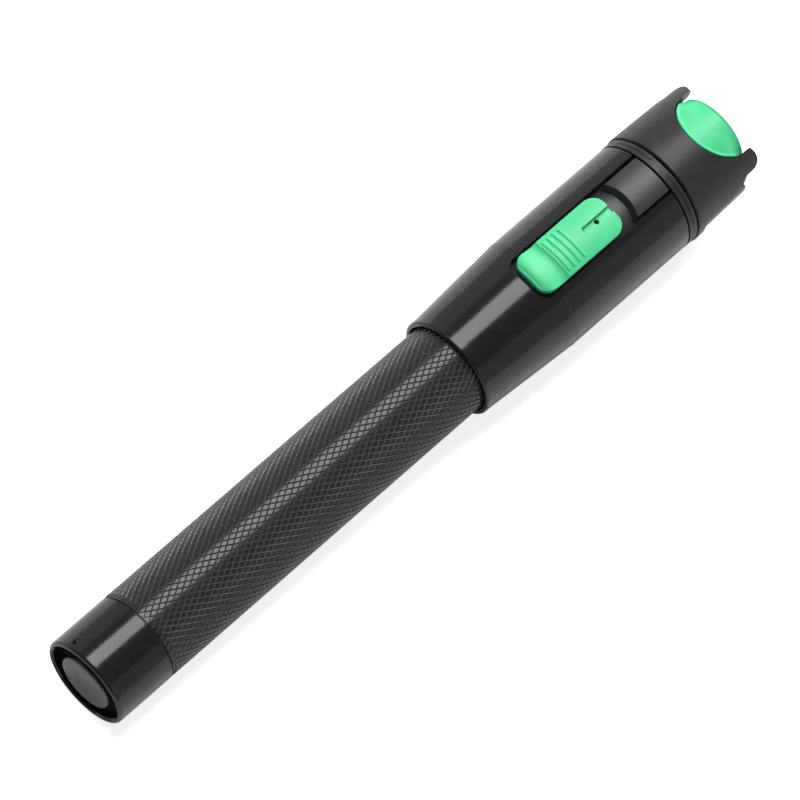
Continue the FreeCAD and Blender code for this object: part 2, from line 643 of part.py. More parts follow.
def make_switch_knob():
    floor_z = HEAD_BORE_R + MOVING_CLEARANCE
    knob = knob_outline().common(knob_envelope())
    knob = knob.cut(block(KNOB_X - 1, KNOB_END + 1, -FAR, FAR, -1, floor_z))
    for index in range(RIB_COUNT):
        knob = knob.fuse(thumb_rib(KNOB_X + RIB_FIRST_X + index * RIB_PITCH))
    notch_floor = HEAD_R + KNOB_PROUD - NOTCH_DEPTH
    notch_x = KNOB_END - NOTCH_LENGTH
    notch = slot_prism(NOTCH_WIDTH, NOTCH_CORNER_R, notch_x, KNOB_END + 1)
    knob = knob.cut(notch.common(block(notch_x, KNOB_END + 1, -FAR, FAR, notch_floor, FAR)))
    knob = knob.cut(notch.common(block(notch_x, notch_x + PEEP_SLOT_LENGTH, -FAR, FAR, 0, FAR)))
    knob = knob.cut(upright(PEEP_HOLE_R, notch_x + PEEP_HOLE_OFFSET, 0, floor_z - 1, FAR))
    half = STEM_LENGTH / 2
    stem = block(STEM_CENTRE_X - half, STEM_CENTRE_X + half, -STEM_WIDTH / 2, STEM_WIDTH / 2,
                 SWITCH_TOP_Z + MOVING_CLEARANCE, floor_z + MOVING_CLEARANCE)
    grip = LEVER_SIZE / 2 + SEAT_CLEARANCE
    socket = block(STEM_CENTRE_X - grip, STEM_CENTRE_X + grip, -grip, grip,
                   SWITCH_TOP_Z, SWITCH_TOP_Z + LEVER_REACH + SEAT_CLEARANCE)
    return knob.fuse(stem).cut(socket)


# ---- laser and port ---------------------------------------------------------------
def make_laser_housing():
    """Turned brass barrel: diode seat at the rear, lens bore, threaded mouth."""
    seat_end = LASER_START + DIODE_SEAT_SETBACK + DIODE_FLANGE_THICKNESS
    mouth = LASER_END - ADAPTER_THREAD_LENGTH - RETAINER_THICKNESS
    housing = rod(LASER_R, LASER_START, LASER_END)
    housing = housing.cut(rod(DIODE_FLANGE_R + SEAT_CLEARANCE, LASER_START - 1, seat_end))
    housing = housing.cut(rod(LASER_BORE_R, LASER_START, LASER_END))
    return housing.cut(rod(ADAPTER_THREAD_R + THREAD_CLEARANCE, mouth, LASER_END + 1))


def make_laser_diode():
    """Round diode can on its flange, with three leads formed up to the board."""
    flange_start = LASER_START + DIODE_SEAT_SETBACK
    flange_end = flange_start + DIODE_FLANGE_THICKNESS
    diode = rod(DIODE_FLANGE_R, flange_start, flange_end)
    diode = diode.fuse(rod(DIODE_CAN_R, flange_start, flange_end + DIODE_CAN_LENGTH))
    lead_start = BOARD_END - DIODE_LEAD_OVERLAP
    for side in (-1, 0, 1):
        diode = diode.fuse(rod(DIODE_LEAD_R, lead_start, flange_end, side * DIODE_LEAD_PITCH,
                               BOARD_BOTTOM_Z - DIODE_LEAD_R))
    return diode


def make_collimating_lens():
    """Plano-convex lens, flat against the retainer and domed towards the diode."""
    front = LASER_END - ADAPTER_THREAD_LENGTH - RETAINER_THICKNESS
    rear = front - LENS_THICKNESS
    edge_r = LASER_BORE_R - SEAT_CLEARANCE
    edge_x = front - LENS_EDGE_THICKNESS
    dome_height = edge_x - rear
    middle = vec(edge_x - 0.75 * dome_height, 0, LENS_CENTRE_FLAT_R + (edge_r - LENS_CENTRE_FLAT_R) / 2)
    corners = [vec(rear, 0, LENS_CENTRE_FLAT_R), vec(rear, 0, 0), vec(front, 0, 0),
               vec(front, 0, edge_r), vec(edge_x, 0, edge_r)]
    edges = [Part.LineSegment(a, b).toShape() for a, b in zip(corners, corners[1:])]
    edges.append(Part.Arc(corners[-1], middle, corners[0]).toShape())
    return Part.Face(Part.Wire(edges)).revolve(vec(0, 0, 0), vec(1, 0, 0), 360)


def make_lens_retainer():
    rear = LASER_END - ADAPTER_THREAD_LENGTH - RETAINER_THICKNESS
    return tube(ADAPTER_THREAD_R, RETAINER_BORE_R, rear, rear + RETAINER_THICKNESS)


def make_ferrule_adapter():
    """Plated adapter: thread, flange and the port that takes a ferrule."""
    sleeve_front = PORT_END - PORT_MOUTH_LENGTH
    sleeve_rear = sleeve_front - SLEEVE_LENGTH - 2 * SEAT_CLEARANCE
    adapter = rod(ADAPTER_THREAD_R, LASER_END - ADAPTER_THREAD_LENGTH, FLANGE_END)
    adapter = adapter.fuse(rod(ADAPTER_FLANGE_R, LASER_END, FLANGE_END))
    port = rod(PORT_R, LASER_END, PORT_END)
    port = port.makeChamfer(PORT_CHAMFER, circular_edges(port, PORT_END, PORT_R))
    adapter = adapter.fuse(port)
    adapter = adapter.cut(rod(LIGHT_PATH_R, 0, sleeve_front))
    adapter = adapter.cut(rod(FERRULE_R + SLEEVE_WALL + SEAT_CLEARANCE, sleeve_rear, sleeve_front))
    return adapter.cut(rod(FERRULE_R + PORT_MOUTH_CLEARANCE, sleeve_front, PORT_END + 1))


def make_alignment_sleeve():
    """Split ceramic sleeve that centres the ferrule."""
    front = PORT_END - PORT_MOUTH_LENGTH - SEAT_CLEARANCE
    sleeve = tube(FERRULE_R + SLEEVE_WALL, FERRULE_R, front - SLEEVE_LENGTH, front)
    return sleeve.cut(block(0, PORT_END, -SLEEVE_SLIT / 2, SLEEVE_SLIT / 2, -LASER_R, 0))


def make_adapter_nut():
    """Hexagon nut that clamps the adapter's flange to the collar's web."""
    across_corners = NUT_FLATS / math.sqrt(3)
    corners = []
    for index in range(7):
        angle = math.radians(60 * index)
        corners.append(vec(CROWN_FLOOR, across_corners * math.cos(angle), across_corners * math.sin(angle)))
    nut = Part.Face(Part.makePolygon(corners)).extrude(vec(NUT_THICKNESS, 0, 0))
    return nut.cut(rod(PORT_R + THREAD_CLEARANCE, 0, COLLAR_END))


# ---- spacer ring and crown collar ---------------------------------------------------
def make_spacer_ring():
    """Ring between the two grooves, with a fine turned line and a key notch."""
    band = tube(RING_R, COLLAR_SPIGOT_R + SEAT_CLEARANCE, RING_START, RING_START + RING_WIDTH)
    line_x = RING_START + RING_WIDTH / 2
    band = band.cut(tube(FAR, RING_R - RING_LINE_WIDTH, line_x, line_x + RING_LINE_WIDTH))
    key = block(line_x + RING_LINE_WIDTH, RING_START + RING_WIDTH + 1, -RING_KEY_HALF_WIDTH,
                RING_KEY_HALF_WIDTH, 0, FAR)
    return band.cut(key.cut(rod(RING_R - RING_KEY_DEPTH, 0, COLLAR_END)))


def scoop_prism(depth, half_width, end):
    """Upright prism of the thumb scoop: half an ellipse that runs on to the front."""
    centre = vec(SCOOP_CENTRE_X, 0, 0)
    left = vec(SCOOP_CENTRE_X, half_width, 0)
    right = vec(SCOOP_CENTRE_X, -half_width, 0)
    if half_width > depth:
        ellipse = Part.Ellipse(left, vec(SCOOP_CENTRE_X - depth, 0, 0), centre)
    else:
        ellipse = Part.Ellipse(vec(SCOOP_CENTRE_X - depth, 0, 0), left, centre)
    disc = Part.Face(Part.Wire(ellipse.toShape())).extrude(vec(0, 0, FAR))
    rear = disc.common(block(SCOOP_CENTRE_X - 2 * depth, SCOOP_CENTRE_X, right.y - 1, left.y + 1, -1, FAR + 1))
    return rear.fuse(block(SCOOP_CENTRE_X, end, right.y, left.y, 0, FAR)).removeSplitter()


def horn_tip_corner(corner_z, side):
    """Stock outside a rounded horn corner, as a bar across the pen."""
    radius = HORN_TIP_ROUND
    centre_z = corner_z - side * radius
    corner = block(COLLAR_END - radius, COLLAR_END + 1, -FAR, FAR,
                   min(centre_z, corner_z + side), max(centre_z, corner_z + side))
    return corner.cut(cross_rod(radius, COLLAR_END - radius, centre_z, FAR + 1))


def rear_corner(x, top_z, radius):
    """Stock between a square upper rear corner and its rounding, as a bar across the pen."""
    corner = block(x, x + radius, -FAR, FAR, top_z - radius, top_z)
    return corner.cut(cross_rod(radius, x + radius, top_z - radius, FAR + 1))


def recess_tool():
    """Stock outside the seat of the hinge bracket, under the collar."""
    start = COLLAR_START + RECESS_START
    stock = tube(FAR, RECESS_R, start, COLLAR_END + 1)
    return stock.common(block(start, COLLAR_END + 1, -FAR, FAR, -FAR, RECESS_TOP_Z))


def make_crown_collar():
    """Tapered collar with a rear spigot, a top thumb scoop and two horns."""
    collar = revolve([(COLLAR_START, 0), (COLLAR_START, COLLAR_REAR_R - COLLAR_EDGE),
                      (COLLAR_START + COLLAR_EDGE, collar_radius(COLLAR_START + COLLAR_EDGE)),
                      (COLLAR_END, COLLAR_FRONT_R), (COLLAR_END, 0)])
    collar = collar.fuse(rod(COLLAR_SPIGOT_R, SPIGOT_START, COLLAR_START))
    collar = collar.cut(rod(COLLAR_SPIGOT_BORE_R, 0, WEB_START))
    collar = collar.cut(rod(PORT_R + THREAD_CLEARANCE, 0, CROWN_FLOOR))
    collar = collar.cut(rod(CROWN_BORE_R, CROWN_FLOOR, COLLAR_END + 1))
    collar = collar.cut(scoop_prism(SCOOP_DEPTH, SCOOP_HALF_WIDTH, COLLAR_END + 1))
    below = block(HORN_ROOT_X, COLLAR_END + 1, -FAR, FAR, -FAR, HORN_LOWER_Z)
    collar = collar.cut(below.cut(rear_corner(HORN_ROOT_X, HORN_LOWER_Z, HORN_ROOT_FILLET)))
    horn_top = math.sqrt(COLLAR_FRONT_R ** 2 - SCOOP_HALF_WIDTH ** 2)
    collar = collar.cut(horn_tip_corner(HORN_LOWER_Z, -1))
    collar = collar.cut(horn_tip_corner(horn_top, 1))
    collar = collar.cut(recess_tool())
    for offset in SCREW_OFFSETS:
        x = COLLAR_START + RECESS_START + offset
        collar = collar.cut(upright(SCREW_SHANK_R + PIN_CLEARANCE, x, 0, -FAR, 0))
    return collar.removeSplitter()


# ---- hinge bracket -------------------------------------------------------------------
def bracket_shell():
    """Curved cover on the collar's underside, rounded at its front corners."""
    start = COLLAR_START + RECESS_START + SEAT_CLEARANCE
    end = COLLAR_END - BRACKET_FRONT_SETBACK
    outer = revolve([(start, 0), (start, collar_radius(start) - BRACKET_SINK),
                     (end, collar_radius(end) - BRACKET_SINK), (end, 0)])
    shell = outer.cut(rod(RECESS_R + SEAT_CLEARANCE, start - 1, end + 1))
    top_z = RECESS_TOP_Z - SEAT_CLEARANCE
    shell = shell.common(block(start, end, -FAR, FAR, -FAR, top_z))
    corner = block(end - BRACKET_CORNER_R, end + 1, -FAR, FAR, top_z - BRACKET_CORNER_R, top_z + 1)
    corner = corner.cut(cross_rod(BRACKET_CORNER_R, end - BRACKET_CORNER_R, top_z - BRACKET_CORNER_R, FAR + 1))
    return shell.cut(corner)


def hinge_lug(side):
    """Foot and hinge lug in one rib, with the pin hole through it."""
    inner = KNUCKLE_HALF_WIDTH + MOVING_CLEARANCE
    y = inner if side > 0 else -inner - HINGE_LUG_WIDTH
    top_z = HINGE_Z + HINGE_LUG_R
    toe = vec(HINGE_X, y, FOOT_Z)
    heel = vec(HINGE_X - FOOT_LENGTH, y, FOOT_Z)
    rear = vec(HINGE_X - FOOT_LENGTH - FOOT_SLOPE, y, top_z)
    crown = vec(HINGE_X, y, top_z)
    nose = vec(HINGE_X + HINGE_LUG_R, y, HINGE_Z)
    outline = [Part.LineSegment(toe, heel).toShape(), Part.LineSegment(heel, rear).toShape(),
               Part.LineSegment(rear, crown).toShape(), Part.Arc(crown, nose, toe).toShape()]
    lug = Part.Face(Part.Wire(outline)).extrude(vec(0, HINGE_LUG_WIDTH, 0))
    lug = lug.cut(rod(RECESS_R + SEAT_CLEARANCE, 0, COLLAR_END - BRACKET_FRONT_SETBACK))
    return lug.cut(cross_rod(HINGE_PIN_R + PIN_CLEARANCE / 2, HINGE_X, HINGE_Z, FAR))


def make_hinge_bracket():
    bracket = bracket_shell()
    gap = KNUCKLE_HALF_WIDTH + MOVING_CLEARANCE
    bracket = bracket.cut(block(HINGE_X - KNUCKLE_R - MOVING_CLEARANCE, COLLAR_END, -gap, gap, -FAR, 0))
    for side in (-1, 1):
        bracket = bracket.fuse(hinge_lug(side))
    for offset in SCREW_OFFSETS:
        x = COLLAR_START + RECESS_START + offset
        seat_z = -RECESS_R - SEAT_CLEARANCE - SCREW_HEAD_HEIGHT / 2
        bracket = bracket.cut(upright(SCREW_SHANK_R + PIN_CLEARANCE, x, 0, -FAR, 0))
        bracket = bracket.cut(upright(SCREW_HEAD_R + PIN_CLEARANCE, x, 0, -FAR, seat_z))
    return bracket.removeSplitter()


def make_bracket_screws():
    """Two pan-head screws from below, as separate solids."""
    screws = []
    seat_z = -RECESS_R - SEAT_CLEARANCE - SCREW_HEAD_HEIGHT / 2
    for offset in SCREW_OFFSETS:
        x = COLLAR_START + RECESS_START + offset
        head = upright(SCREW_HEAD_R, x, 0, seat_z - SCREW_HEAD_HEIGHT, seat_z)
        head = head.cut(block(x - SCREW_HEAD_R, x + SCREW_HEAD_R, -SCREW_SLOT_WIDTH / 2,
                              SCREW_SLOT_WIDTH / 2, -FAR, seat_z - SCREW_HEAD_HEIGHT + SCREW_SLOT_DEPTH))
        tip_z = -CROWN_BORE_R - 2 * PIN_CLEARANCE
        screws.append(head.fuse(upright(SCREW_SHANK_R, x, 0, seat_z - PIN_CLEARANCE, tip_z)))
    return Part.makeCompound(screws)


def make_hinge_pin():
    half = KNUCKLE_HALF_WIDTH + MOVING_CLEARANCE + HINGE_LUG_WIDTH
    return cross_rod(HINGE_PIN_R, HINGE_X, HINGE_Z, half)


# ---- dust cap --------------------------------------------------------------------------
def cap_prism(inset=0.0):
    """Upright prism of the cap's plan, inside the thumb scoop by the running gap."""
    gap = CAP_SCOOP_GAP + inset
    return scoop_prism(SCOOP_DEPTH - gap, SCOOP_HALF_WIDTH - gap, CAP_FACE_X - inset)


def cap_visor():
    """Outer wall of the cap between the horns: a rim round a shallow thumb dish."""
    rear = SCOOP_CENTRE_X - SCOOP_DEPTH
    visor = revolve([(rear, 0), (rear, collar_radius(rear) - CAP_RIM_SINK),
                     (CAP_FACE_X, collar_radius(CAP_FACE_X) - CAP_RIM_SINK), (CAP_FACE_X, 0)])
    front = circular_edges(visor, CAP_FACE_X, collar_radius(CAP_FACE_X) - CAP_RIM_SINK)
    visor = visor.makeFillet(CAP_LIP_ROUND, front).common(cap_prism())
    dish = rod(CAP_DISH_R, rear - 1, CAP_FACE_X + 1, 0, CAP_DISH_TOP - CAP_DISH_R)
    hollow = block(rear - 1, CAP_FACE_X + 1, -FAR, FAR, CAP_SIDE_TOP_Z, FAR).cut(dish)
    hollow = hollow.common(cap_prism(CAP_RIM_WIDTH))
    return visor.cut(hollow).cut(rod(CAP_DISH_TOP - CAP_VISOR_THICKNESS, 0, COLLAR_END))


def cap_face():
    """Front plate: full width under the horns, narrow enough to pass between them."""
    plate = rod(CAP_FACE_R, CAP_REAR_X, CAP_FACE_X)
    plate = plate.makeFillet(CAP_FACE_ROUND, circular_edges(plate, CAP_FACE_X, CAP_FACE_R))
    above = block(CAP_REAR_X - 1, CAP_FACE_X + 1, -FAR, FAR, CAP_SIDE_TOP_Z, FAR)
    plate = plate.cut(above.cut(cap_prism()))
    shoulder = rear_corner(CAP_REAR_X, CAP_SIDE_TOP_Z, HORN_ROOT_FILLET)
    return plate.cut(shoulder.cut(rod(CROWN_BORE_R - MOVING_CLEARANCE, 0, COLLAR_END)))


def make_dust_cap():
    """Flip cap: crowned visor, front plate, hollow plug and hinge knuckle."""
    plug_start = CAP_REAR_X - CAP_PLUG_DEPTH
    plug = tube(CAP_PLUG_R, CAP_PLUG_R - CAP_PLUG_WALL, plug_start, CAP_REAR_X + SEAT_CLEARANCE)
    web = block(HINGE_X - KNUCKLE_R, CAP_FACE_X - CAP_FACE_ROUND, -KNUCKLE_HALF_WIDTH, KNUCKLE_HALF_WIDTH,
                HINGE_Z, -CAP_FACE_R + CAP_FACE_ROUND)
    knuckle = cross_rod(KNUCKLE_R, HINGE_X, HINGE_Z, KNUCKLE_HALF_WIDTH)
    cap = cap_face().fuse(cap_visor()).fuse(plug).fuse(web).fuse(knuckle)
    return cap.cut(cross_rod(HINGE_PIN_R + PIN_CLEARANCE, HINGE_X, HINGE_Z, FAR)).removeSplitter()


def make_cap_seal():
    """Soft pad in the cap's plug, with a boss that stands before the port."""
    seal_r = CAP_PLUG_R - CAP_PLUG_WALL - SEAT_CLEARANCE
    pad = rod(seal_r, CAP_REAR_X - SEAL_THICKNESS, CAP_REAR_X)
    return pad.fuse(rod(SEAL_BOSS_R, PORT_END + MOVING_CLEARANCE, CAP_REAR_X))


def place(shape):
    """Move a solid from the pen's frame into the part's frame."""
    shape.translate(vec(-COLLAR_END / 2, 0, -FOOT_Z))
    return shape


PIECES = {
    "tail_cap": make_tail_cap,
    "tail_magnet": make_tail_magnet,
    "tail_contact_spring": make_tail_spring,
    "tail_o_ring": make_tail_o_ring,
    "knurled_barrel": make_barrel,
    "rear_cell": lambda: make_cell(CELL_START),
    "front_cell": lambda: make_cell(CELL_START + CELL_LENGTH),
    "front_contact": make_front_contact,
    "contact_insulator": make_contact_insulator,
    "head_o_ring": make_head_o_ring,
    "head_shell": make_head_shell,
    "switch_chassis": make_switch_chassis,
    "circuit_board": make_circuit_board,
    "slide_switch_body": make_slide_switch_body,
    "slide_switch_lever": make_slide_switch_lever,
    "switch_knob": make_switch_knob,
    "laser_housing": make_laser_housing,
    "laser_diode": make_laser_diode,
    "collimating_lens": make_collimating_lens,
    "lens_retainer": make_lens_retainer,
    "ferrule_adapter": make_ferrule_adapter,
    "alignment_sleeve": make_alignment_sleeve,
    "adapter_nut": make_adapter_nut,
    "spacer_ring": make_spacer_ring,
    "crown_collar": make_crown_collar,
    "hinge_bracket": make_hinge_bracket,
    "bracket_screws": make_bracket_screws,
    "hinge_pin": make_hinge_pin,
    "dust_cap": make_dust_cap,
    "cap_seal": make_cap_seal,
}

os.makedirs("parts", exist_ok=True)
for name, make in PIECES.items():
    piece = place(make())
    piece.exportStep("parts/" + name + ".step")
    box = piece.BoundBox
    print(f"{name:20s} solids {len(piece.Solids)} valid {piece.isValid()} volume {piece.Volume:9.1f} "
          f"x {box.XMin:7.2f}..{box.XMax:7.2f} z {box.ZMin:6.2f}..{box.ZMax:6.2f}")
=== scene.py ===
import bpy
import json
import math
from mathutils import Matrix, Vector

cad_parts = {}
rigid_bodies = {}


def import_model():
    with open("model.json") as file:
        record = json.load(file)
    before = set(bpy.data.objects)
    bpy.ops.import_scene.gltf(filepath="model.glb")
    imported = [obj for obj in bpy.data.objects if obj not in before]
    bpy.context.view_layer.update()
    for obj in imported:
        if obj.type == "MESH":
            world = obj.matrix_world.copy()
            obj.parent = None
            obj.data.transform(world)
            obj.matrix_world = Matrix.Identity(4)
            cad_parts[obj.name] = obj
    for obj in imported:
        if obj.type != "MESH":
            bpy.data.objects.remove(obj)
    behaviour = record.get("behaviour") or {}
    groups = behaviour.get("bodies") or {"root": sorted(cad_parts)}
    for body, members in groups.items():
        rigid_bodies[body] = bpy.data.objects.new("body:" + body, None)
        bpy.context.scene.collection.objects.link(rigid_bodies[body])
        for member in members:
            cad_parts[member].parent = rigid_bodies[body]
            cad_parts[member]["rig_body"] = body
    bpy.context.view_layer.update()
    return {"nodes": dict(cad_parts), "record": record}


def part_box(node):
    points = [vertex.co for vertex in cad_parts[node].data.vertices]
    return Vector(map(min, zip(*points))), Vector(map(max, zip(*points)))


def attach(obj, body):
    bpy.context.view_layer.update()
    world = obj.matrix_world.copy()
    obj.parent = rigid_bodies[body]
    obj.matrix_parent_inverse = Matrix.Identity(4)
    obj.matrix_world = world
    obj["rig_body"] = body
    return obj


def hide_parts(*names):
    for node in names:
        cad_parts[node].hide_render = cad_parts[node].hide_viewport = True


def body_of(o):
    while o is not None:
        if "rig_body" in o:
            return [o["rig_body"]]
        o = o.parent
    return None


# Visual fault locator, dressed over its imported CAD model.  Metres, the part's own frame:
# +X runs along the pen to the fibre port, +Z is up through the slide switch.

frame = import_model()
nodes = frame["nodes"]
MM = 0.001

tail_low, tail_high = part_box("tail_cap")
AXIS_Z = (tail_low[2] + tail_high[2]) / 2


# ---- camera --------------------------------------------------------------------------
def place_camera():
    """The photograph's three-quarter view from above the tail, through a long lens."""
    data = bpy.data.cameras.new("camera")
    data.lens = 295.07
    data.sensor_width = 36
    data.clip_end = 20
    camera = bpy.data.objects.new("camera", data)
    right = Vector((0.6992, -0.7012, 0.1388)).normalized()
    back = Vector((-0.3774, -0.1973, 0.9048)).normalized()
    up = back.cross(right).normalized()
    right = up.cross(back)
    for row in range(3):
        for column, axis in enumerate((right, up, back)):
            camera.matrix_world[row][column] = axis[row]
    camera.matrix_world.translation = (-0.4951, -0.2571, 1.2001)
    bpy.context.collection.objects.link(camera)
    bpy.context.scene.camera = camera


place_camera()


# ---- materials -----------------------------------------------------------------------
class Paint:
    """A node material with short ways to add texture, bump and variation."""

    def __init__(self, name, color, roughness, metallic=0.0, **sockets):
        self.material = bpy.data.materials.new(name)
        self.material.use_nodes = True
        self.tree = self.material.node_tree
        self.shader = self.tree.nodes["Principled BSDF"]
        self.set("Base Color", (*color, 1))
        self.set("Roughness", roughness)
        self.set("Metallic", metallic)
        for socket, value in sockets.items():
            self.set(socket.replace("_", " "), value)

    def set(self, socket, value):
        self.shader.inputs[socket].default_value = value

    def add(self, kind, **settings):
        node = self.tree.nodes.new(kind)
        for key, value in settings.items():
            if key in node.inputs:
                node.inputs[key].default_value = value
            else:
                setattr(node, key, value)
        return node

    def link(self, source, target):
        self.tree.links.new(source, target)

    def place(self, scale=(1, 1, 1)):
        """Object coordinates about the pen's axis, scaled."""
        coordinates = self.add("ShaderNodeTexCoord")
        mapping = self.add("ShaderNodeMapping")
        mapping.inputs["Scale"].default_value = scale
        self.link(coordinates.outputs["Object"], mapping.inputs["Vector"])
        return mapping.outputs["Vector"]

    def noise(self, scale, stretch=(1, 1, 1), detail=4.0, roughness=0.55):
        """Noise whose scale is in features per metre."""
        node = self.add("ShaderNodeTexNoise")
        node.inputs["Scale"].default_value = scale
        node.inputs["Detail"].default_value = detail
        node.inputs["Roughness"].default_value = roughness
        self.link(self.place(stretch), node.inputs["Vector"])
        return node.outputs["Fac"]

    def ramp(self, value, low, high, out_low, out_high):
        node = self.add("ShaderNodeMapRange")
        for socket, number in zip(("From Min", "From Max", "To Min", "To Max"), (low, high, out_low, out_high)):
            node.inputs[socket].default_value = number
        self.link(value, node.inputs["Value"])
        return node.outputs["Result"]

    def vary_roughness(self, value, low, high):
        self.link(self.ramp(value, 0.3, 0.7, low, high), self.shader.inputs["Roughness"])

    def vary_color(self, value, low, high):
        mix = self.add("ShaderNodeMix", data_type="RGBA")
        sockets = [s for s in mix.inputs if s.type == "RGBA"]
        sockets[0].default_value = (*low, 1)
        sockets[1].default_value = (*high, 1)
        self.link(self.ramp(value, 0.3, 0.7, 0.0, 1.0), mix.inputs["Factor"])
        self.link([s for s in mix.outputs if s.type == "RGBA"][0], self.shader.inputs["Base Color"])

    def bump(self, value, distance, strength=1.0):
        node = self.add("ShaderNodeBump")
        node.inputs["Distance"].default_value = distance
        node.inputs["Strength"].default_value = strength
        self.link(value, node.inputs["Height"])
        self.link(node.outputs["Normal"], self.shader.inputs["Normal"])


def gloss_anodise():
    """Glossy black anodise over a finely turned surface: faint rings about the axis."""
    paint = Paint("gloss_black_anodise", (0.010, 0.010, 0.011), 0.15, Specular_IOR_Level=0.44)
    rings = paint.noise(2600, (1, 0.012, 0.012), detail=5)
    paint.vary_roughness(rings, 0.12, 0.18)
    paint.vary_color(paint.noise(260), (0.009, 0.009, 0.010), (0.012, 0.012, 0.013))
    paint.bump(rings, 0.0000035, 0.6)
    return paint.material


def knurl_anodise():
    """Satin black anodise of the knurl's flats."""
    paint = Paint("knurl_anodise", (0.012, 0.012, 0.013), 0.2, Specular_IOR_Level=0.5)
    paint.vary_color(paint.noise(900), (0.009, 0.009, 0.010), (0.017, 0.017, 0.018))
    paint.vary_roughness(paint.noise(2500), 0.16, 0.25)
    paint.bump(paint.noise(9000, detail=2), 0.000004, 0.5)
    return paint.material


def groove_painted_sheen():
    """Rougher anodise in the cut grooves of the knurl, with a paler base colour as painted sheen of the groove
    walls catching the light.
    """
    # paler base colour than the flats: painted sheen of the lit groove walls
    paint = Paint("groove_painted_sheen", (0.045, 0.045, 0.046), 0.4, Specular_IOR_Level=0.5)
    paint.vary_color(paint.noise(1400), (0.030, 0.030, 0.031), (0.065, 0.065, 0.067))
    paint.vary_roughness(paint.noise(2500), 0.30, 0.42)
    paint.bump(paint.noise(9000, detail=2), 0.000006, 0.5)
    return paint.material


def blasted_grey():
    """Fine matt dark grey of the collar and the spacer ring."""
    paint = Paint("blasted_grey", (0.022, 0.022, 0.023), 0.42, Specular_IOR_Level=0.3)
    grain = paint.noise(7000, detail=3)
    paint.vary_color(paint.noise(420), (0.018, 0.018, 0.019), (0.027, 0.027, 0.028))
    paint.vary_roughness(grain, 0.34, 0.45)
    paint.bump(grain, 0.00001, 0.55)
    return paint.material


def seam_painted_highlight():
    """Paler anodise on the ridge at the head's cone-to-cylinder kink; the pale colour is a painted highlight of
    that kink.
    """
    # pale base colour: painted highlight of the kink
    paint = Paint("seam_painted_highlight", (0.16, 0.16, 0.165), 0.42, Specular_IOR_Level=0.5)
    paint.vary_color(paint.noise(700), (0.11, 0.11, 0.115), (0.21, 0.21, 0.215))
    paint.bump(paint.noise(9000, detail=2), 0.000004, 0.5)
    return paint.material


def green_moulding():
    """Fine satin green plastic with a soft glow under its skin."""
    paint = Paint("green_moulding", (0.068, 0.60, 0.265), 0.42, Specular_IOR_Level=0.4)
    paint.set("Subsurface Weight", 0.12)
    paint.set("Subsurface Radius", (0.4, 1.0, 0.5))
    paint.set("Subsurface Scale", 0.0008)
    paint.vary_color(paint.noise(160), (0.061, 0.58, 0.252), (0.076, 0.62, 0.279))
    grain = paint.noise(5200, detail=3)
    paint.vary_roughness(grain, 0.38, 0.47)
    paint.bump(grain, 0.000005, 0.5)
    return paint.material


def dark_moulding():
    """Satin black moulded plastic with a spark-eroded grain."""
    paint = Paint("dark_moulding", (0.024, 0.024, 0.025), 0.4, Specular_IOR_Level=0.45)
    grain = paint.noise(3800, detail=3)
    paint.vary_color(paint.noise(2600, detail=2), (0.016, 0.016, 0.017), (0.034, 0.034, 0.035))
    paint.vary_roughness(grain, 0.30, 0.46)
    paint.bump(grain, 0.00003, 0.8)
    return paint.material


def metal(name, color, roughness, scale, stretch, depth):
    """Bare or plated metal with the marks that its making left."""
    paint = Paint(name, color, roughness, metallic=1.0)
    marks = paint.noise(scale, stretch, detail=6)
    darker = tuple(0.86 * c for c in color)
    paint.vary_color(paint.noise(500), darker, color)
    paint.vary_roughness(marks, roughness * 0.8, roughness * 1.25)
    paint.bump(marks, depth, 0.5)
    return paint.material


def magnet_plate():
    """Satin nickel disc with a soft cast to it and a few fine handling marks."""
    paint = Paint("magnet_plate", (0.13, 0.13, 0.13), 0.44, metallic=1.0)
    cloud = paint.noise(190, detail=6)
    paint.vary_color(cloud, (0.11, 0.11, 0.112), (0.16, 0.16, 0.16))
    paint.vary_roughness(paint.noise(1800, (1, 1, 0.12), detail=5), 0.38, 0.50)
    paint.bump(paint.noise(2600, (1, 0.2, 1), detail=4), 0.000004, 0.4)
    return paint.material


def rubber(name, color):
    paint = Paint(name, color, 0.6, Specular_IOR_Level=0.35)
    grain = paint.noise(2600, detail=4)
    paint.vary_color(paint.noise(350), tuple(0.85 * c for c in color), tuple(1.15 * c for c in color))
    paint.vary_roughness(grain, 0.52, 0.7)
    paint.bump(grain, 0.00001, 0.5)
    return paint.material


def cell_sleeve():
    """Bare film sleeve of a cell: a coloured band at the rear, a darker body, steel ends."""
    paint = Paint("cell_sleeve", (0.5, 0.5, 0.5), 0.3, Coat_Weight=0.4)
    position = paint.add("ShaderNodeTexCoord")
    split = paint.add("ShaderNodeSeparateXYZ")
    paint.link(position.outputs["Generated"], split.inputs["Vector"])
    ramp = paint.add("ShaderNodeValToRGB")
    ramp.color_ramp.interpolation = "CONSTANT"
    stops = ramp.color_ramp.elements
    stops[0].position, stops[0].color = 0.0, (0.45, 0.45, 0.45, 1)
    stops[1].position, stops[1].color = 0.012, (0.55, 0.36, 0.10, 1)
    for place, color in ((0.30, (0.03, 0.03, 0.032, 1)), (0.965, (0.5, 0.5, 0.5, 1))):
        stop = stops.new(place)
        stop.color = color
    paint.link(split.outputs["X"], ramp.inputs["Fac"])
    paint.link(ramp.outputs["Color"], paint.shader.inputs["Base Color"])
    film = paint.noise(900, detail=5)
    paint.vary_roughness(film, 0.22, 0.36)
    paint.bump(film, 0.000008, 0.4)
    return paint.material


